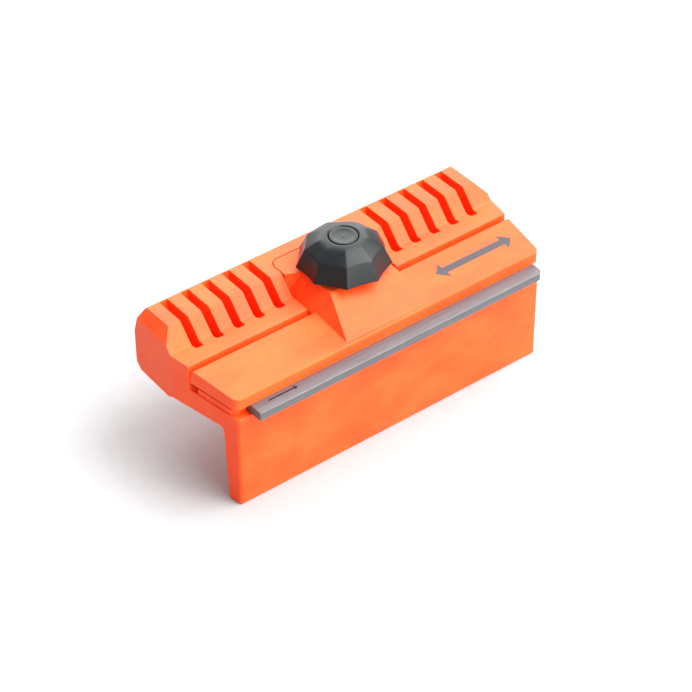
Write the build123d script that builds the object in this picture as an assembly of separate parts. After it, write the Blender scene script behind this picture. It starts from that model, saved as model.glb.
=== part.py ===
from build123d import *
from math import cos, radians, sin
import os

# Hand-held flat-file dresser: a fence and grip moulded in one piece, a file that lies square to the
# fence, and a clamp plate that a star knob pulls down on the file.
# X runs along the fence, Y from the fence's guide face to the grip, Z up from the fence's foot.
# Everything is drawn with Y = 0 on the guide face and moved by frame_shift when it is written.
# All lengths are in millimetres and all angles in degrees.

# ---- driving dimensions ----
fence_half_length = 57.3        # at the guide face
fence_height = 33.0             # foot to file bed
fence_foot_thickness = 4.9
fence_root_thickness = 6.25
shelf_thickness_front = 6.1
shelf_thickness_rear = 7.3
shelf_rear = 27.5               # where the shelf's underside steps down to the grip
end_flare = 0.15                # growth of the half-length per millimetre of depth
flare_depth = 27.0              # the ends are widest here
grip_rear_half_length = 60.7
grip_depth = 48.5
grip_front = 20.2               # front wall of the grip
ledge_height = 41.65            # level ledge behind that wall
ledge_rear = 27.7               # the ledge meets the front slope
grip_bottom = 24.3
crease_depth = 33.1             # front slope meets the flat top
ridge_depth = 44.3              # flat top meets the rear face
grip_height = 47.45
top_half_length = 58.0          # flat top between the end facets
facet_height = 43.55            # lower border of the end facets
foot_edge_radius = 0.8
bed_edge_radius = 0.3
root_radius = 1.5               # inner corner of fence and shelf
shelf_radius = 1.0
grip_step = 2.5                 # run of the slope from the shelf down to the grip
toe_depth = 3.4                 # lower rear bevel of the grip
toe_rise = 3.0
toe_radii = (1.6, 2.0)
grip_back_height = 35.0         # the rear face leans inwards above this
grip_back_radius = 6.0
ridge_radius = 0.8
crease_radius = 1.2
wall_radius = 0.5
end_radii = (1.1, 2.5, 1.5)     # upright edges of the ends, front to rear
facet_cutter_reach = 8.0

slot_count = 5                  # on each side of the knob
slot_first = 22.4               # centre of the slot nearest the knob
slot_pitch = 7.48
slot_width = 2.9
slot_front = 25.5
slot_rear = 43.7
slot_floor = 28.5
slot_radii = (1.1, 0.3, 0.4)    # front left, front right, rear corners

file_thickness = 3.0
file_overhang = 4.1             # stands proud of the guide face
file_left = -52.4
file_right = 55.4
file_rear = 15.9
file_corner = 2.2
file_edge_radius = 0.5
slip = 0.02                     # working clearance on faces that slide
overshoot = 1.0                 # how far cutters and joined pieces reach past a face

rail_width = 1.3                # ledge behind the file
rail_height = 2.0
rail_inset = 1.0                # the rail's right end stays short of the fence's end
end_stop_gap = 0.1              # between the stop and the file's left end
end_stop_inset = 0.4
end_stop_front = 2.6
end_stop_radii = (0.4, 1.5)

plate_front = 0.6
plate_bottom = fence_height + file_thickness + slip
plate_front_height = 40.1
plate_rear = 18.2
plate_rear_height = 41.1
plate_corner = 2.0
plate_front_radii = (0.3, 0.8)  # lower and upper front edges
plate_rear_radius = 0.5
plate_tail = 1.6                # how far the plate's lower rear edge reaches back
plate_tail_height = 0.9
plate_tail_undercut = 0.3
plate_tail_radii = (0.4, 0.2)

boss_foot_half_width = 16.2     # where the ramp meets the plate
boss_seat_half_width = 11.4     # at seat height
boss_foot_front = 1.8
boss_seat_front = 16.2
boss_toe_rise = 0.05            # the ramp starts this far above the plate's front edge
boss_side_rise = 0.2
boss_web_setback = 0.5          # web under the boss, behind the grip's front wall
tongue_half_width = 16.6
tongue_front = 31.6
tongue_rear = 39.4
tongue_corner = 3.0
tongue_shoulder = 3.8           # the tongue's front corners are cut back by this much inwards
tongue_shoulder_depth = 1.7     # and by this much forwards
tongue_shoulder_radius = 0.3
notch_gap = 0.4

knob_depth = 25.0               # knob and bolt axis, behind the guide face
knob_lobes = 9
knob_phase = -123.5             # direction of the first lobe from +X
skirt_height = 49.1             # the four levels that the knob is lofted through
shoulder_height = 55.1
crown_height = 57.9
knob_top_height = 58.3
skirt_radii = (14.95, 13.55)    # at the lobe tips, and in the flutes
shoulder_radii = (12.1, 11.2)
crown_radius = 7.6
rim_radius = 5.4
hub_radius = 8.0
hub_height = 1.0

bolt_radius = 3.0
bolt_head_flats = 10.0
bolt_head_height = 4.0
bolt_head_top = 30.0            # roof of the hexagon pocket
bolt_end_height = 55.0
bolt_end_chamfer = 0.6
pocket_clearance = 0.05
hole_radius = 3.2
washer_radius = 6.0
washer_thickness = 1.6
thread_clearance = 0.05

spring_radius = 4.3
spring_wire_radius = 0.45
spring_turns = 5
tube_radius = 5.5               # boss tube that holds the spring's top
tube_bottom = 41.0

boss_wall = 2.5
boss_roof = 3.2
cavity_front = 14.5
cavity_half_width = 10.8
cavity_radius = 1.0

insert_radius = 4.5
insert_bottom = grip_height + washer_thickness
insert_top = 55.6
cap_radius = 4.4
cap_bottom = 56.2
ring_chamfer = 0.25

UPWARD = (Align.CENTER, Align.CENTER, Align.MIN)

os.makedirs("parts", exist_ok=True)
frame_shift = Pos(0, -(grip_depth - file_overhang) / 2, 0)


def rounded_face(corners):
    """Flat face from (x, y, corner radius) triples."""
    face = make_face(Polyline(*[(x, y) for x, y, _ in corners], close=True))
    for x, y, radius in corners:
        if radius > 0:
            corner = face.vertices().sort_by_distance((x, y, 0))[0]
            face = fillet(corner, radius)
    return face


def along_x(corners, half_length):
    """Solid with the given (y, z, radius) section, centred on X = 0."""
    return extrude(Plane.YZ * rounded_face(corners), amount=half_length, both=True)


def along_y(corners, front, rear):
    """Solid with the given (x, z, radius) section between two depths."""
    section = Plane.XZ * rounded_face(corners)
    return Pos(0, front, 0) * extrude(section, amount=rear - front, dir=(0, 1, 0))


def upright(corners, bottom, top):
    """Solid with the given (x, y, radius) outline between two heights."""
    return Pos(0, 0, bottom) * extrude(rounded_face(corners), amount=top - bottom, dir=(0, 0, 1))


def mirrored(corners):
    """Outline made symmetric about X = 0 from its right-hand corners, front to rear."""
    left = [(-x, y, radius) for x, y, radius in reversed(corners)]
    return corners + left


def half_length_at(depth):
    return fence_half_length + end_flare * depth


# ---- fence, shelf and grip: one moulding ----
def make_holder_body():
    shelf_bottom_front = fence_height - shelf_thickness_front
    shelf_bottom_rear = fence_height - shelf_thickness_rear
    section = [
        (0, 0, foot_edge_radius),
        (fence_foot_thickness, 0, foot_edge_radius),
        (fence_root_thickness, shelf_bottom_front, root_radius),
        (shelf_rear, shelf_bottom_rear, shelf_radius),
        (shelf_rear + grip_step, grip_bottom, shelf_radius),
        (grip_depth - toe_depth, grip_bottom, toe_radii[0]),
        (grip_depth, grip_bottom + toe_rise, toe_radii[1]),
        (grip_depth, grip_back_height, grip_back_radius),
        (ridge_depth, grip_height, ridge_radius),
        (crease_depth, grip_height, crease_radius),
        (ledge_rear, ledge_height, crease_radius),
        (grip_front, ledge_height, wall_radius),
        (grip_front, fence_height, wall_radius),
        (0, fence_height, bed_edge_radius),
    ]
    plan = mirrored([
        (fence_half_length, 0, end_radii[0]),
        (half_length_at(flare_depth), flare_depth, end_radii[1]),
        (grip_rear_half_length, grip_depth, end_radii[2]),
    ])
    body = along_x(section, half_length_at(flare_depth) + overshoot)
    body &= upright(plan, -overshoot, grip_height + overshoot)

    for side in (1, -1):
        body -= make_end_facet_cutter(side)
    body -= make_notch_cutter()
    for side in (1, -1):
        for index in range(slot_count):
            body -= Pos(side * (slot_first + index * slot_pitch), 0, 0) * make_slot_cutter()
    body += make_file_ledge()

    pocket = RegularPolygon(bolt_head_flats / 2 + pocket_clearance, 6, major_radius=False)
    bolt_hole = extrude(pocket, amount=bolt_head_top) + Cylinder(hole_radius, 2 * fence_height)
    return body - Pos(0, knob_depth, 0) * bolt_hole


def make_end_facet_cutter(side):
    """Wedge that takes the upper end corner off the flat top and the front slope."""
    drop = (grip_height - facet_height) / (half_length_at(flare_depth) - top_half_length)
    wedge = [
        (side * top_half_length, grip_height, 0),
        (side * (top_half_length + facet_cutter_reach), grip_height - drop * facet_cutter_reach, 0),
        (side * (top_half_length + facet_cutter_reach), grip_height + facet_cutter_reach, 0),
        (side * top_half_length, grip_height + facet_cutter_reach, 0),
    ]
    return along_y(wedge, 0, grip_depth + overshoot)


def make_notch_cutter():
    """Recess in the grip that takes the tongue of the clamp plate."""
    half_width = tongue_half_width + notch_gap
    outline = mirrored([
        (half_width, grip_front - overshoot, 0),
        (half_width, tongue_rear + notch_gap, tongue_corner + notch_gap),
    ])
    return upright(outline, fence_height, grip_height + overshoot)


def make_slot_cutter():
    """Deep coring slot from the ledge, over the front slope and flat top, to the ridge."""
    half = slot_width / 2
    outline = [
        (-half, slot_front, slot_radii[0]),
        (half, slot_front, slot_radii[1]),
        (half, slot_rear, slot_radii[2]),
        (-half, slot_rear, slot_radii[2]),
    ]
    return upright(outline, slot_floor, grip_height + overshoot)


def make_file_ledge():
    """Rail behind the file, and the stop that its left end rests against."""
    rail_rear = file_rear + rail_width
    rail = upright([
        (-fence_half_length, file_rear, 0),
        (fence_half_length - rail_inset, file_rear, 0),
        (fence_half_length - rail_inset, rail_rear, 0),
        (-fence_half_length, rail_rear, 0),
    ], fence_height - overshoot, fence_height + rail_height)
    stop = upright([
        (file_left - end_stop_gap, end_stop_front, 0),
        (file_left - end_stop_gap, rail_rear, 0),
        (-half_length_at(rail_rear) + end_stop_inset, rail_rear, end_stop_radii[0]),
        (-half_length_at(end_stop_front) + end_stop_inset, end_stop_front, end_stop_radii[1]),
    ], fence_height - overshoot, fence_height + rail_height)
    return rail + stop


# ---- clamp plate with its raised boss: one moulding ----
def make_clamp_plate():
    section = [
        (plate_front, plate_bottom, plate_front_radii[0]),
        (plate_front, plate_front_height, plate_front_radii[1]),
        (plate_rear, plate_rear_height, plate_rear_radius),
        (plate_rear + plate_tail, plate_bottom + plate_tail_height, plate_tail_radii[0]),
        (plate_rear + plate_tail - plate_tail_undercut, plate_bottom, plate_tail_radii[1]),
    ]
    plan = mirrored([
        (half_length_at(plate_front), plate_front, plate_corner),
        (half_length_at(grip_front), grip_front, 0),
    ])
    plate = along_x(section, half_length_at(grip_front)) & upright(plan, plate_bottom, plate_rear_height)
    plate += make_boss()
    plate -= make_boss_cavity()
    return plate - Pos(0, knob_depth, fence_height) * Cylinder(hole_radius, grip_height, align=UPWARD)


def make_boss():
    """Ramp up from the plate to the knob seat, and the tongue that reaches back into the grip."""
    foot = fence_height + slip
    side_view = [
        (boss_foot_front, plate_front_height + boss_toe_rise, 0),
        (boss_seat_front, grip_height, 0),
        (tongue_front + overshoot, grip_height, 0),
        (tongue_front + overshoot, foot, 0),
        (grip_front + boss_web_setback, foot, 0),
        (grip_front + boss_web_setback, plate_bottom, 0),
        (boss_foot_front, plate_bottom, 0),
    ]
    front_view = mirrored([
        (boss_foot_half_width, foot, 0),
        (boss_foot_half_width, plate_front_height + boss_side_rise, 0),
        (boss_seat_half_width, grip_height, 0),
    ])
    ramp = along_x(side_view, tongue_half_width) & along_y(front_view, 0, grip_depth)
    tongue = upright(mirrored([
        (tongue_half_width - tongue_shoulder, tongue_front - tongue_shoulder_depth, 0),
        (tongue_half_width, tongue_front, tongue_shoulder_radius),
        (tongue_half_width, tongue_rear, tongue_corner),
    ]), foot, grip_height)
    return ramp + tongue


def make_boss_cavity():
    """Hollow under the boss, with a tube left around the bolt for the spring's upper end."""
    roof = grip_height - boss_roof
    hollow = upright(mirrored([
        (cavity_half_width, cavity_front, cavity_radius),
        (cavity_half_width, tongue_rear - boss_wall, cavity_radius),
    ]), fence_height - overshoot, roof)
    return hollow - Pos(0, knob_depth, tube_bottom) * Cylinder(tube_radius, roof, align=UPWARD)


# ---- file ----
def make_flat_file():
    outline = [
        (file_left, -file_overhang, file_edge_radius),
        (file_right, -file_overhang, file_corner),
        (file_right, file_rear - slip, file_edge_radius),
        (file_left, file_rear - slip, file_edge_radius),
    ]
    return upright(outline, fence_height, fence_height + file_thickness)


# ---- knob, its insert and its cap ----
def lobed_face(tip_radius, valley_radius, height):
    """Star section: arcs between the lobe tips that dip to the valley radius half-way."""
    def point(radius, angle):
        return (radius * cos(radians(angle)), radius * sin(radians(angle)))
    pitch = 360 / knob_lobes
    arcs = []
    for lobe in range(knob_lobes):
        start = knob_phase + lobe * pitch
        middle = point(valley_radius, start + pitch / 2)
        arcs.append(ThreePointArc(point(tip_radius, start), middle, point(tip_radius, start + pitch)))
    return Pos(0, 0, height) * make_face(arcs)


def make_clamp_knob():
    sections = [
        lobed_face(*skirt_radii, skirt_height),
        lobed_face(*shoulder_radii, shoulder_height),
        lobed_face(crown_radius, crown_radius, crown_height),
        lobed_face(rim_radius, rim_radius, knob_top_height),
    ]
    knob = Pos(0, 0, insert_bottom) * Cylinder(hub_radius, hub_height, align=UPWARD)
    for lower, upper in zip(sections, sections[1:]):
        knob += loft([lower, upper], ruled=True)
    knob -= Pos(0, 0, insert_bottom) * Cylinder(insert_radius, insert_top - insert_bottom, align=UPWARD)
    knob -= Pos(0, 0, insert_top) * Cylinder(hole_radius, cap_bottom - insert_top, align=UPWARD)
    knob -= Pos(0, 0, cap_bottom) * Cylinder(cap_radius, knob_top_height, align=UPWARD)
    rim = Cone(cap_radius, cap_radius + 2 * ring_chamfer, 2 * ring_chamfer, align=UPWARD)
    return Pos(0, knob_depth, 0) * (knob - Pos(0, 0, knob_top_height - ring_chamfer) * rim)


def make_knob_insert():
    height = insert_top - insert_bottom
    bore = Cylinder(bolt_radius + thread_clearance, height, align=UPWARD)
    return Pos(0, knob_depth, insert_bottom) * (Cylinder(insert_radius, height, align=UPWARD) - bore)


def make_knob_cap():
    cap = Cylinder(cap_radius, knob_top_height - cap_bottom, align=UPWARD)
    cap = chamfer(cap.edges().sort_by(Axis.Z)[-1], ring_chamfer)
    return Pos(0, knob_depth, cap_bottom) * cap


# ---- bolt, washer and spring ----
def make_clamp_bolt():
    head = extrude(RegularPolygon(bolt_head_flats / 2, 6, major_radius=False), amount=bolt_head_height)
    shank = Cylinder(bolt_radius, bolt_end_height - bolt_head_top, align=UPWARD)
    shank = chamfer(shank.edges().sort_by(Axis.Z)[-1], bolt_end_chamfer)
    bolt = Pos(0, 0, bolt_head_top - bolt_head_height) * head + Pos(0, 0, bolt_head_top) * shank
    return Pos(0, knob_depth, 0) * bolt


def make_thrust_washer():
    hole = Cylinder(hole_radius, washer_thickness, align=UPWARD)
    return Pos(0, knob_depth, grip_height) * (Cylinder(washer_radius, washer_thickness, align=UPWARD) - hole)


def make_lift_spring():
    margin = spring_wire_radius + slip
    height = tube_bottom - fence_height - 2 * margin
    coil = Helix(pitch=height / spring_turns, height=height, radius=spring_radius)
    wire = sweep((coil ^ 0) * Circle(spring_wire_radius), path=coil)
    return Pos(0, knob_depth, fence_height + margin) * wire


parts = {
    "holder_body": make_holder_body(),
    "clamp_plate": make_clamp_plate(),
    "flat_file": make_flat_file(),
    "clamp_knob": make_clamp_knob(),
    "knob_insert": make_knob_insert(),
    "knob_cap": make_knob_cap(),
    "clamp_bolt": make_clamp_bolt(),
    "thrust_washer": make_thrust_washer(),
    "lift_spring": make_lift_spring(),
}
for name, shape in parts.items():
    export_step(frame_shift * shape, f"parts/{name}.step")
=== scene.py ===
from math import ceil, cos, exp, log, pi, radians, sin, sqrt, tan, tau

import bmesh
import bpy
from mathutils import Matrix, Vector


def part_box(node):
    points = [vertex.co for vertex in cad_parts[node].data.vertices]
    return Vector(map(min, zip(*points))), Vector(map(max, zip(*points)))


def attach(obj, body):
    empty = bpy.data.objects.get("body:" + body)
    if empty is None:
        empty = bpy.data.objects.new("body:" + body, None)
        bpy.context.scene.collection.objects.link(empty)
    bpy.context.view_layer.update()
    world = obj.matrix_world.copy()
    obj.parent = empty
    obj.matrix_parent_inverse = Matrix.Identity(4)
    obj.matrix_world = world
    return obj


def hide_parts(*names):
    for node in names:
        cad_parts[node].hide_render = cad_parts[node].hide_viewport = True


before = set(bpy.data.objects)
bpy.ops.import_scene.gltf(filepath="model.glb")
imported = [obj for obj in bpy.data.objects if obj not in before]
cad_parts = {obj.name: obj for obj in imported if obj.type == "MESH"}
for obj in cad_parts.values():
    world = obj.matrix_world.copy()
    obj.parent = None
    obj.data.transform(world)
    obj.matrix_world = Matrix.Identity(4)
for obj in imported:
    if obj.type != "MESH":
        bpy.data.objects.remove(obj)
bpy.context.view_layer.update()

# A hand-held file dresser: moulded fence and grip, clamp plate, file, star knob and their hardware.
# Blender's lengths are metres. Outlines of the knob, cap and bolt are drawn in millimetres and turned by MM.
MM = 0.001


# ---- node helpers ----
def add_node(tree, kind, inputs=None, **settings):
    """New node with its settings made, and each input set to a value or joined to a socket."""
    node = tree.nodes.new(kind)
    for name, value in settings.items():
        setattr(node, name, value)
    for name, value in (inputs or {}).items():
        if isinstance(value, bpy.types.NodeSocket):
            tree.links.new(value, node.inputs[name])
        else:
            node.inputs[name].default_value = value
    return node


def start_material(name, **constants):
    """Node material whose shader has these constants on its own sockets."""
    material = bpy.data.materials.new(name)
    material.use_nodes = True
    tree = material.node_tree
    shader = tree.nodes["Principled BSDF"]
    for socket, value in constants.items():
        shader.inputs[socket.replace("_", " ")].default_value = value
    return material, tree, shader


def place(tree, stretch=(1, 1, 1)):
    """Position in the part's frame, stretched to give a texture its direction."""
    coordinates = add_node(tree, "ShaderNodeTexCoord")
    mapping = add_node(tree, "ShaderNodeMapping", {
        "Vector": coordinates.outputs["Object"], "Scale": stretch})
    return mapping.outputs["Vector"]


def noise(tree, vector, size, detail=2.0, roughness=0.5):
    """Noise with features of about the given size in metres."""
    texture = add_node(tree, "ShaderNodeTexNoise", {
        "Vector": vector, "Scale": 1 / size, "Detail": detail, "Roughness": roughness})
    return texture.outputs["Fac"]


def remap(tree, value, low, high, to_low, to_high):
    """Value taken from one range to another, held at its ends."""
    node = add_node(tree, "ShaderNodeMapRange", {
        "Value": value, "From Min": low, "From Max": high, "To Min": to_low, "To Max": to_high})
    return node.outputs["Result"]


def blend_colours(tree, factor, first, second):
    """Mix of two colours, each a constant or a socket. The node's colour sockets go by number."""
    first_input, second_input, colour_output = 6, 7, 2
    node = add_node(tree, "ShaderNodeMix", {"Factor": factor}, data_type="RGBA")
    for socket, colour in ((first_input, first), (second_input, second)):
        if isinstance(colour, bpy.types.NodeSocket):
            tree.links.new(colour, node.inputs[socket])
        else:
            node.inputs[socket].default_value = (*colour, 1)
    return node.outputs[colour_output]


def shade(colour, factor):
    """The colour made darker or lighter by a factor."""
    return tuple(factor * channel for channel in colour)


def bump(tree, height, depth, normal=None):
    """Bump of the given depth in metres."""
    inputs = {"Height": height, "Strength": 1.0, "Distance": depth}
    if normal is not None:
        inputs["Normal"] = normal
    return add_node(tree, "ShaderNodeBump", inputs).outputs["Normal"]


# ---- materials ----
CLOUD_SIZE, FLECK_SIZE, WAVE_SIZE = 11 * MM, 1.6 * MM, 9 * MM
WAVE_DEPTH, GRAIN_DEPTH = 0.05 * MM, 0.018 * MM
GRIND_SIZE, STAIN_SIZE, GRIND_DEPTH = 0.22 * MM, 7 * MM, 0.012 * MM
PLATING_SIZE, SCRATCH_SIZE, SCRATCH_DEPTH = 1.2 * MM, 0.3 * MM, 0.006 * MM
INK_SIZE = 0.5 * MM
PAPER_SIZE = 4 * MM


def moulded_plastic(name, colour, pale, roughness, sheen, grain, flow=(0.55, 1, 1)):
    """Injection-moulded plastic: soft flow clouds in the colour, and a fine spark-eroded grain."""
    material, tree, shader = start_material(name, Specular_IOR_Level=sheen)
    clouds = noise(tree, place(tree, flow), CLOUD_SIZE, detail=5, roughness=0.62)
    flecks = noise(tree, place(tree), FLECK_SIZE, detail=2)
    mixed = blend_colours(tree, remap(tree, clouds, 0.38, 0.62, 0, 1), colour, pale)
    mixed = blend_colours(tree, remap(tree, flecks, 0.55, 0.8, 0, 0.5), mixed, shade(colour, 0.9))
    gloss = remap(tree, clouds, 0.3, 0.7, roughness - 0.05, roughness + 0.07)
    waves = bump(tree, noise(tree, place(tree), WAVE_SIZE, detail=1), WAVE_DEPTH)
    grains = noise(tree, place(tree), grain, detail=3, roughness=0.6)
    tree.links.new(mixed, shader.inputs["Base Color"])
    tree.links.new(gloss, shader.inputs["Roughness"])
    tree.links.new(bump(tree, grains, GRAIN_DEPTH, waves), shader.inputs["Normal"])
    return material


def ground_steel(name, colour, metallic, roughness, stretch=(0.02, 1, 1)):
    """Steel with fine grinding lines along the direction that the stretch leaves long."""
    material, tree, shader = start_material(name, Metallic=metallic)
    lines = noise(tree, place(tree, stretch), GRIND_SIZE, detail=3, roughness=0.7)
    stains = noise(tree, place(tree), STAIN_SIZE, detail=4, roughness=0.6)
    worn = shade(colour, 0.72)
    mixed = blend_colours(tree, remap(tree, lines, 0.35, 0.7, 0, 1), colour, worn)
    mixed = blend_colours(tree, remap(tree, stains, 0.5, 0.75, 0, 0.35), mixed, worn)
    gloss = remap(tree, lines, 0.3, 0.7, roughness - 0.07, roughness + 0.1)
    tree.links.new(mixed, shader.inputs["Base Color"])
    tree.links.new(gloss, shader.inputs["Roughness"])
    tree.links.new(bump(tree, lines, GRIND_DEPTH), shader.inputs["Normal"])
    return material


def plated_metal(name, colour, roughness):
    """Turned or pressed metal with a plated finish: fine cloudiness and small scratches."""
    material, tree, shader = start_material(name, Metallic=1.0)
    clouds = noise(tree, place(tree), PLATING_SIZE, detail=4, roughness=0.65)
    scratches = noise(tree, place(tree, (1, 1, 9)), SCRATCH_SIZE, detail=2)
    mixed = blend_colours(tree, remap(tree, clouds, 0.4, 0.7, 0, 1), colour, shade(colour, 0.7))
    gloss = remap(tree, clouds, 0.3, 0.7, roughness - 0.06, roughness + 0.1)
    tree.links.new(mixed, shader.inputs["Base Color"])
    tree.links.new(gloss, shader.inputs["Roughness"])
    tree.links.new(bump(tree, scratches, SCRATCH_DEPTH), shader.inputs["Normal"])
    return material


def printed_ink(name, colour):
    """Pad-printed ink: slightly uneven coverage."""
    material, tree, shader = start_material(name, IOR=1.45)
    cover = noise(tree, place(tree), INK_SIZE, detail=3)
    mixed = blend_colours(tree, remap(tree, cover, 0.45, 0.8, 0, 1), colour, shade(colour, 1.5))
    tree.links.new(mixed, shader.inputs["Base Color"])
    tree.links.new(remap(tree, cover, 0.3, 0.7, 0.45, 0.6), shader.inputs["Roughness"])
    return material


def plain_paper(name, colour, pale):
    """Matt paper with faint fibres."""
    material, tree, shader = start_material(name, Roughness=0.9)
    fibre = noise(tree, place(tree), PAPER_SIZE, detail=4)
    tree.links.new(blend_colours(tree, remap(tree, fibre, 0.3, 0.7, 0, 1), colour, pale),
                   shader.inputs["Base Color"])
    return material


ORANGE = (0.98, 0.068, 0.007)
PALE_ORANGE = (1.0, 0.100, 0.015)
DARK_GREY = (0.005, 0.007, 0.008)
PALE_DARK_GREY = (0.009, 0.011, 0.012)
PLATE_FLOW = (0.4, 1, 1)
ORANGE_GRAIN, GREY_GRAIN = 0.35 * MM, 0.3 * MM

body_plastic = moulded_plastic(
    "body_plastic", ORANGE, PALE_ORANGE, roughness=0.5, sheen=0.27, grain=ORANGE_GRAIN)
plate_plastic = moulded_plastic(
    "plate_plastic", ORANGE, PALE_ORANGE, roughness=0.48, sheen=0.22, grain=ORANGE_GRAIN, flow=PLATE_FLOW)
knob_plastic = moulded_plastic(
    "knob_plastic", DARK_GREY, PALE_DARK_GREY, roughness=0.34, sheen=0.26, grain=GREY_GRAIN)
file_steel = ground_steel("file_steel", (0.150, 0.150, 0.156), metallic=0.55, roughness=0.6)
brass = plated_metal("insert_brass", (0.80, 0.55, 0.22), roughness=0.3)
zinc = plated_metal("bolt_steel", (0.66, 0.67, 0.69), roughness=0.28)
spring_wire = plated_metal("spring_steel", (0.45, 0.44, 0.42), roughness=0.3)
grey_ink = printed_ink("grey_ink", (0.024, 0.021, 0.026))
black_ink = printed_ink("black_ink", (0.006, 0.005, 0.006))
floor_paper = plain_paper("floor_paper", (0.40, 0.402, 0.407), (0.415, 0.416, 0.42))


# ---- mesh helpers ----
def new_piece(name, points, faces, material, smooth_angle=35):
    """Closed mesh object, smooth except where faces meet at more than the angle."""
    mesh = bpy.data.meshes.new(name)
    mesh.from_pydata(points, [], faces)
    mesh.update()
    shape = bmesh.new()
    shape.from_mesh(mesh)
    bmesh.ops.recalc_face_normals(shape, faces=shape.faces)
    for edge in shape.edges:
        edge.smooth = len(edge.link_faces) == 2 and edge.calc_face_angle(0) < radians(smooth_angle)
    for face in shape.faces:
        face.smooth = True
    shape.to_mesh(mesh)
    shape.free()
    mesh.materials.append(material)
    piece = bpy.data.objects.new(name, mesh)
    bpy.context.scene.collection.objects.link(piece)
    return piece


def ring_faces(rows, columns, close_rows=False):
    """Quads between neighbouring rings of a lattice whose columns close on themselves."""
    faces = []
    last = rows if close_rows else rows - 1
    for row in range(last):
        above = (row + 1) % rows
        for column in range(columns):
            beside = (column + 1) % columns
            faces.append((row * columns + column, row * columns + beside,
                          above * columns + beside, above * columns + column))
    return faces


def round_corners(corners, steps=6):
    """Outline from (r, z, cut) corners. Each cut corner is rounded by a small parabola."""
    longest_share = 0.48
    outline = []
    count = len(corners)
    for index, (r, z, cut) in enumerate(corners):
        here = Vector((r, z))
        if cut <= 0:
            outline.append(here)
            continue
        before = Vector(corners[index - 1][:2])
        after = Vector(corners[(index + 1) % count][:2])
        start = here + (before - here).normalized() * min(cut, (before - here).length * longest_share)
        end = here + (after - here).normalized() * min(cut, (after - here).length * longest_share)
        for step in range(steps + 1):
            t = step / steps
            outline.append(start * (1 - t) ** 2 + here * 2 * t * (1 - t) + end * t ** 2)
    return outline


# ---- star knob: millimetres, from the foot of the fence and from the knob's axis ----
knob_low, knob_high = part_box("clamp_knob")
knob_axis = (knob_low + knob_high) / 2
knob_axis.z = 0
LOBES = 9
FIRST_LOBE = radians(-123.5)
KNOB_STEPS_PER_LOBE = 40
RIDGE_SOFTNESS = 0.09

SKIRT_TIP, SKIRT_VALLEY, SKIRT_HOLLOW, SKIRT_BOTTOM = 14.95, 13.55, 0.5, 49.1
CREASE_RADIUS, CREASE_HOLLOW, CREASE_HEIGHT, CREASE_DROP = 12.2, 0.25, 55.25, 0.35
CROWN_RADIUS, CROWN_HOLLOW, CROWN_HEIGHT = 7.7, 0.02, 57.85
RIM_RADIUS, KNOB_TOP = 5.6, 58.3
HUB_RADIUS, HUB_BOTTOM = 8.0, 49.07
INSERT_RADIUS, INSERT_TOP = 4.52, 55.6
BOLT_HOLE_RADIUS = 3.2
CAP_SEAT_RADIUS, CAP_SEAT_HEIGHT = 4.55, 56.2
MOUTH_RADIUS, MOUTH_DEPTH = 4.95, 0.3


def flute_radius(angle, tip, hollow):
    """Radius of the side between two lobe tips, hollowed below the straight chord, with eased ridges."""
    half = pi / LOBES
    turn = (angle - FIRST_LOBE) % (2 * half) - half
    valley = tip * cos(half) - hollow
    centre = (tip ** 2 - valley ** 2) / (2 * hollow)
    arc = centre * cos(turn) - sqrt((centre - valley) ** 2 - (centre * sin(turn)) ** 2)
    return tip - RIDGE_SOFTNESS * log(exp((tip - arc) / RIDGE_SOFTNESS) + 1)


def knob_profile(angle):
    """Closed (r, z, cut) outline of the knob's wall in one direction, from the mouth at the top outwards."""
    skirt = flute_radius(angle, SKIRT_TIP, SKIRT_HOLLOW)
    ridge_share = (skirt - SKIRT_VALLEY) / (SKIRT_TIP - SKIRT_VALLEY)
    return [
        (MOUTH_RADIUS, KNOB_TOP, 0.12),
        (RIM_RADIUS, KNOB_TOP, 0.5),
        (flute_radius(angle, CROWN_RADIUS, CROWN_HOLLOW), CROWN_HEIGHT, 2.0),
        (flute_radius(angle, CREASE_RADIUS, CREASE_HOLLOW), CREASE_HEIGHT - CREASE_DROP * ridge_share, 0.4),
        (skirt, SKIRT_BOTTOM, 0.2),
        (HUB_RADIUS + 0.02, SKIRT_BOTTOM, 0),
        (HUB_RADIUS - 0.03, HUB_BOTTOM, 0),
        (INSERT_RADIUS, HUB_BOTTOM, 0.1),
        (INSERT_RADIUS, INSERT_TOP, 0),
        (BOLT_HOLE_RADIUS, INSERT_TOP, 0),
        (BOLT_HOLE_RADIUS, CAP_SEAT_HEIGHT, 0),
        (CAP_SEAT_RADIUS, CAP_SEAT_HEIGHT, 0),
        (CAP_SEAT_RADIUS, KNOB_TOP - MOUTH_DEPTH, 0.1),
    ]


def make_knob():
    """Star knob: fluted skirt, facets that run out into a low dome, and a bore for insert and cap."""
    columns = LOBES * KNOB_STEPS_PER_LOBE
    points = []
    for column in range(columns):
        angle = FIRST_LOBE + tau * column / columns
        profile = round_corners(knob_profile(angle))
        points += [Vector((r * cos(angle), r * sin(angle), z)) * MM + knob_axis for r, z in profile]
    faces = ring_faces(columns, len(profile), close_rows=True)
    knob = new_piece("star_knob", points, faces, knob_plastic, smooth_angle=50)
    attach(knob, "knob")
    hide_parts("clamp_knob")


def close_on_axis(rings, columns):
    """Faces of a turned solid: point 0 on the axis, then rings of columns, then a last point on the axis."""
    faces = [tuple(1 + index for index in face) for face in ring_faces(rings, columns)]
    last = 1 + rings * columns
    for column in range(columns):
        beside = (column + 1) % columns
        faces.append((0, 1 + beside, 1 + column))
        faces.append((last, last - columns + column, last - columns + beside))
    return faces


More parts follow.
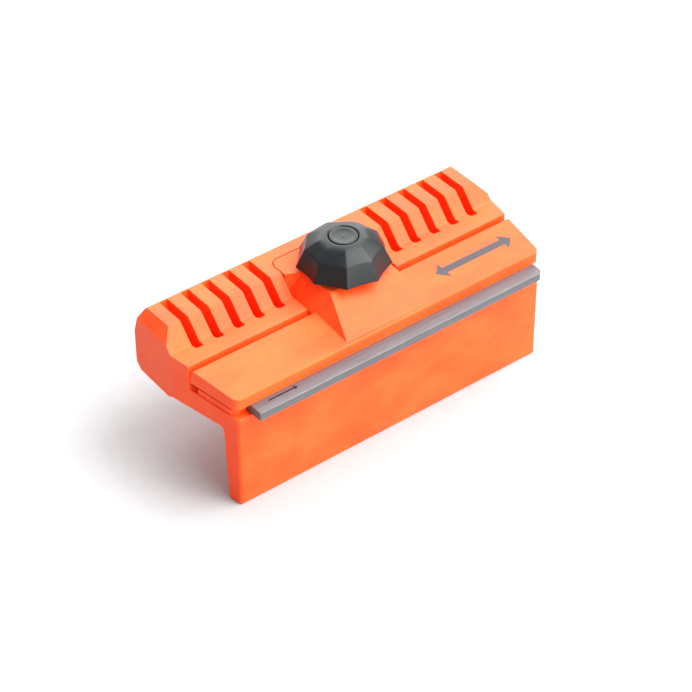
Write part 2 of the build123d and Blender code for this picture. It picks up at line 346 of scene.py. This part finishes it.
def around_axis(radii, heights):
    """Ring of points round the knob's axis, with a radius and a height for each direction."""
    step = tau / len(radii)
    return [knob_axis + Vector((r * cos(column * step), r * sin(column * step), z)) * MM
            for column, (r, z) in enumerate(zip(radii, heights))]


def level_ring(radii, height):
    """Ring of points round the knob's axis at one height."""
    return around_axis(radii, [height] * len(radii))


def make_cap():
    """Press-in cap over the insert, with a shallow dish and a gate mark in its middle."""
    columns = 72
    radius, top = 4.4, 58.28
    dish_edge, dish, dish_depth = 3.4, 2.6, 0.26
    gate, gate_groove, gate_depth = 0.45, 0.7, 0.32
    outline = round_corners([
        (0, top - 0.2, 0), (gate, top - 0.22, 0.1), (gate_groove, top - gate_depth, 0.2),
        (dish, top - dish_depth, 0.8), (dish_edge, top, 0.5), (radius, top, 0.25),
        (radius, CAP_SEAT_HEIGHT, 0.1), (0, CAP_SEAT_HEIGHT, 0)])
    rings = outline[1:-1]
    points = level_ring([0], outline[0].y)
    for r, z in rings:
        points += level_ring([r] * columns, z)
    points += level_ring([0], outline[-1].y)
    cap = new_piece("dished_cap", points, close_on_axis(len(rings), columns), knob_plastic)
    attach(cap, "knob")
    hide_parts("knob_cap")


# ---- file ----
file_low, file_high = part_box("flat_file")
FILE_CORNER = 2.2 * MM
FILE_EASE = 0.22 * MM
FILE_ROWS = 36
TOOTH_PITCH = 0.9 * MM
TOOTH_DEPTH = 0.16 * MM
TOOTH_SLANT = radians(25)
TOOTH_STEPS = 4
TOOTH_CREST = 0.8               # share of the pitch that rises
PLAIN_BORDER = 0.5 * MM
FADE_LENGTH = 1.0 * MM


def file_edge(x):
    """How far the front edge draws back at the rounded right-hand corner."""
    inside = x - (file_high.x - FILE_CORNER)
    return FILE_CORNER - sqrt(max(FILE_CORNER ** 2 - inside ** 2, 0)) if inside > 0 else 0


def tooth(x, y):
    """Height of a slanted saw-tooth cut, faded out along the borders."""
    phase = (x * cos(TOOTH_SLANT) + y * sin(TOOTH_SLANT)) / TOOTH_PITCH
    saw = phase % 1.0
    border = min(x - file_low.x, file_high.x - x, y - file_low.y - file_edge(x), file_high.y - y)
    fade = min(max((border - PLAIN_BORDER) / FADE_LENGTH, 0), 1)
    return TOOTH_DEPTH * fade * (saw if saw < TOOTH_CREST else (1 - saw) / (1 - TOOTH_CREST))


def file_section(x, inset):
    """Closed (y, z) section of the file: teeth underneath, eased edges all round."""
    front = file_low.y + file_edge(x) + inset
    rear = file_high.y - inset
    low, high = file_low.z + inset, file_high.z - inset
    section = []
    for row in range(FILE_ROWS + 1):
        y = rear - FILE_EASE + (front - rear + 2 * FILE_EASE) * row / FILE_ROWS
        section.append((y, low + tooth(x, y)))
    section += [(front, low + FILE_EASE), (front, high - FILE_EASE), (front + FILE_EASE, high)]
    section += [(rear - FILE_EASE, high), (rear, high - FILE_EASE), (rear, low + FILE_EASE)]
    return section


def make_file():
    """Flat file: eased edges all round, teeth cut across its underside."""
    length = file_high.x - file_low.x
    columns = ceil(length / (TOOTH_PITCH / TOOTH_STEPS))
    points = []
    for column in range(columns + 1):
        x = file_low.x + length * column / columns
        section = file_section(x, FILE_EASE if column in (0, columns) else 0)
        points += [(x, y, z) for y, z in section]
    count = len(section)
    faces = ring_faces(columns + 1, count)
    faces.append(tuple(range(count)))
    faces.append(tuple(range(columns * count, (columns + 1) * count)))
    blade = new_piece("file_blade", points, faces, file_steel, smooth_angle=25)
    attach(blade, "file")
    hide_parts("flat_file")


# ---- printed arrows ----
def make_print(name, outline, surface, thickness, material, body):
    """Flat printed mark with the given (x, y) outline, lying on a surface height function."""
    count = len(outline)
    points = [(x, y, surface(y) + thickness) for x, y in outline]
    points += [(x, y, surface(y) - thickness) for x, y in outline]
    faces = [tuple(range(count)), tuple(range(2 * count - 1, count - 1, -1))]
    for index in range(count):
        beside = (index + 1) % count
        faces.append((index, count + index, count + beside, beside))
    mark = new_piece(name, points, faces, material)
    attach(mark, body)


def double_arrow(centre_x, centre_y, length, head, shaft):
    """Outline of an arrow with a head at each end."""
    half = [(-length / 2, 0), (-length / 2 + head, head), (-length / 2 + head, shaft)]
    upper = half + [(-x, y) for x, y in reversed(half)]
    outline = upper + [(x, -y) for x, y in reversed(upper[1:-1])]
    return [(centre_x + x, centre_y + y) for x, y in outline]


def arrow(tip_x, centre_y, length, head, shaft):
    """Outline of an arrow that points along +X."""
    neck_x = tip_x - head * 1.4
    upper = [(tip_x - length, shaft), (neck_x, shaft), (neck_x, head), (tip_x, 0)]
    lower = [(x, -y) for x, y in reversed(upper[:-1])]
    return [(x, centre_y + y) for x, y in upper + lower]


plate_low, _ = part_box("clamp_plate")
PLATE_FRONT_TOP = 40.1 * MM
PLATE_SLOPE = 1.0 / 17.6        # the plate's top rises by 1 mm from its front edge to its rear edge
STROKE_ARROW = {"centre_x": 39.5 * MM, "centre_y": plate_low.y + 9.9 * MM,
                "length": 30 * MM, "head": 3.6 * MM, "shaft": 1.35 * MM}
FEED_ARROW = {"tip_x": -36.5 * MM, "centre_y": file_low.y + 3.3 * MM,
              "length": 10.5 * MM, "head": 1.0 * MM, "shaft": 0.32 * MM}
STROKE_INK_THICKNESS = 0.03 * MM
FEED_INK_THICKNESS = 0.01 * MM


def plate_top(y):
    return PLATE_FRONT_TOP + PLATE_SLOPE * (y - plate_low.y)


def file_top(_):
    return file_high.z


def make_prints():
    make_print("stroke_arrow_print", double_arrow(**STROKE_ARROW), plate_top, STROKE_INK_THICKNESS,
               grey_ink, "clamp")
    make_print("feed_arrow_print", arrow(**FEED_ARROW), file_top, FEED_INK_THICKNESS,
               black_ink, "file")


# ---- bolt: millimetres, as for the knob ----
HEAD_BOTTOM, HEAD_TOP, THREAD_END = 26.0, 30.0, 55.0
HEAD_FLAT_RADIUS, THREAD_RADIUS = 5.0, 3.0
THREAD_PITCH, THREAD_DEPTH, STEPS_PER_TURN = 1.0, 0.5, 6
RECESS_DEPTH, RECESS_RADIUS, RECESS_LIP = 0.4, 3.0, 3.5
HEAD_CHAMFER = radians(30)
CHAMFER_START = 4.85
UNDERSIDE_RADIUS = 4.7
EDGE_BREAK = 0.05
NECK_FILLET = 0.2
RUN_OUT = 1.2                   # plain length at the two ends of the thread
END_CHAMFER = 0.25


def hexagon_radius(angle):
    return HEAD_FLAT_RADIUS / cos((angle + pi / 6) % (pi / 3) - pi / 6)


def thread_ring(z, columns):
    """Radii round the shank at one height of the cut thread."""
    start = HEAD_TOP + RECESS_DEPTH
    fade = min(max((z - start) / THREAD_PITCH, 0), 1)
    saws = [(z / THREAD_PITCH - column / columns) % 1.0 for column in range(columns)]
    return [THREAD_RADIUS - THREAD_DEPTH * fade * abs(2 * saw - 1) for saw in saws]


def make_bolt():
    """Hexagon-head bolt with a chamfered head and a cut M6 thread."""
    columns = 72
    edge = [hexagon_radius(tau * column / columns) for column in range(columns)]
    chamfer = [HEAD_BOTTOM + max(r - CHAMFER_START, 0) * tan(HEAD_CHAMFER) for r in edge]
    root = THREAD_RADIUS - THREAD_DEPTH

    points = level_ring([0], HEAD_BOTTOM + RECESS_DEPTH)
    underside = [
        (RECESS_RADIUS, RECESS_DEPTH),
        (RECESS_LIP - 0.1, 0.25),
        (RECESS_LIP, 0),
        (UNDERSIDE_RADIUS, 0),
    ]
    for radius, lift in underside:
        points += level_ring([radius] * columns, HEAD_BOTTOM + lift)
    points += around_axis(edge, chamfer)
    points += level_ring(edge, HEAD_TOP - EDGE_BREAK)
    points += level_ring([r - EDGE_BREAK for r in edge], HEAD_TOP)
    points += level_ring([THREAD_RADIUS + NECK_FILLET] * columns, HEAD_TOP)
    points += level_ring([THREAD_RADIUS] * columns, HEAD_TOP + NECK_FILLET)
    steps = int((THREAD_END - HEAD_TOP - RUN_OUT) / THREAD_PITCH * STEPS_PER_TURN)
    for step in range(steps + 1):
        z = HEAD_TOP + RECESS_DEPTH + step * THREAD_PITCH / STEPS_PER_TURN
        points += level_ring(thread_ring(z, columns), z)
    points += level_ring([root] * columns, THREAD_END - END_CHAMFER)
    points += level_ring([root - END_CHAMFER] * columns, THREAD_END)
    points += level_ring([0], THREAD_END)

    faces = close_on_axis((len(points) - 2) // columns, columns)
    bolt = new_piece("hexagon_bolt", points, faces, zinc, smooth_angle=30)
    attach(bolt, "holder")
    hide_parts("clamp_bolt")


# ---- finish of the nodes that keep their designed shape ----
def finish_node(node, material):
    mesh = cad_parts[node].data
    mesh.materials.clear()
    mesh.materials.append(material)


# ---- stage, light and camera ----
FLOOR_HALF_SIZE = 4.0
AMBIENT = 0.5
LIGHT_TARGET = Vector((0, 0, 0.02))
SOFTBOXES = {
    "key": {"direction": (0.46, -0.34, 0.82), "distance": 1.3, "size": 1.1, "power": 42},
    "back": {"direction": (0.42, 0.66, 0.62), "distance": 1.4, "size": 1.6, "power": 36},
    "front": {"direction": (0.20, -0.95, 0.24), "distance": 1.6, "size": 1.5, "power": 38},
}
CAMERA_AZIMUTH, CAMERA_ELEVATION = radians(38.12), radians(39.69)
CAMERA_DISTANCE = 0.7504
CAMERA_TARGET = Vector((0, -0.0072, 0.020))
CAMERA_LENS_MM, SENSOR_WIDTH_MM = 128, 36
CAMERA_SHIFT = (-0.0247, 0.0077)


def make_floor():
    half = FLOOR_HALF_SIZE
    corners = [(-half, -half, 0), (half, -half, 0), (half, half, 0), (-half, half, 0)]
    new_piece("floor", corners, [(0, 1, 2, 3)], floor_paper)


def make_softbox(name, direction, distance, size, power):
    """Square area light that faces the middle of the part from the given direction."""
    light = bpy.data.lights.new(name, "AREA")
    light.size = size
    light.energy = power
    softbox = bpy.data.objects.new(name, light)
    towards = Vector(direction).normalized()
    softbox.location = towards * distance + LIGHT_TARGET
    softbox.rotation_euler = towards.to_track_quat("Z", "Y").to_euler()
    bpy.context.scene.collection.objects.link(softbox)


def make_light():
    world = bpy.data.worlds.new("studio")
    world.use_nodes = True
    background = world.node_tree.nodes["Background"]
    background.inputs["Color"].default_value = (1, 1, 1, 1)
    background.inputs["Strength"].default_value = AMBIENT
    bpy.context.scene.world = world
    for name, softbox in SOFTBOXES.items():
        make_softbox(name, **softbox)
    bpy.context.scene.view_settings.view_transform = "Standard"


def make_camera():
    azimuth, elevation = CAMERA_AZIMUTH, CAMERA_ELEVATION
    forward = Vector((sin(azimuth) * cos(elevation), cos(azimuth) * cos(elevation), -sin(elevation)))
    lens = bpy.data.cameras.new("camera")
    lens.lens = CAMERA_LENS_MM
    lens.sensor_width = SENSOR_WIDTH_MM
    lens.shift_x, lens.shift_y = CAMERA_SHIFT
    camera = bpy.data.objects.new("camera", lens)
    camera.location = CAMERA_TARGET - forward * CAMERA_DISTANCE
    camera.rotation_euler = forward.to_track_quat("-Z", "Y").to_euler()
    bpy.context.scene.collection.objects.link(camera)
    bpy.context.scene.camera = camera


make_camera()
make_light()
make_floor()
make_knob()
make_cap()
make_file()
make_prints()
make_bolt()
for node, material in {
    "holder_body": body_plastic,
    "clamp_plate": plate_plastic,
    "knob_insert": brass,
    "thrust_washer": zinc,
    "lift_spring": spring_wire,
}.items():
    finish_node(node, material)
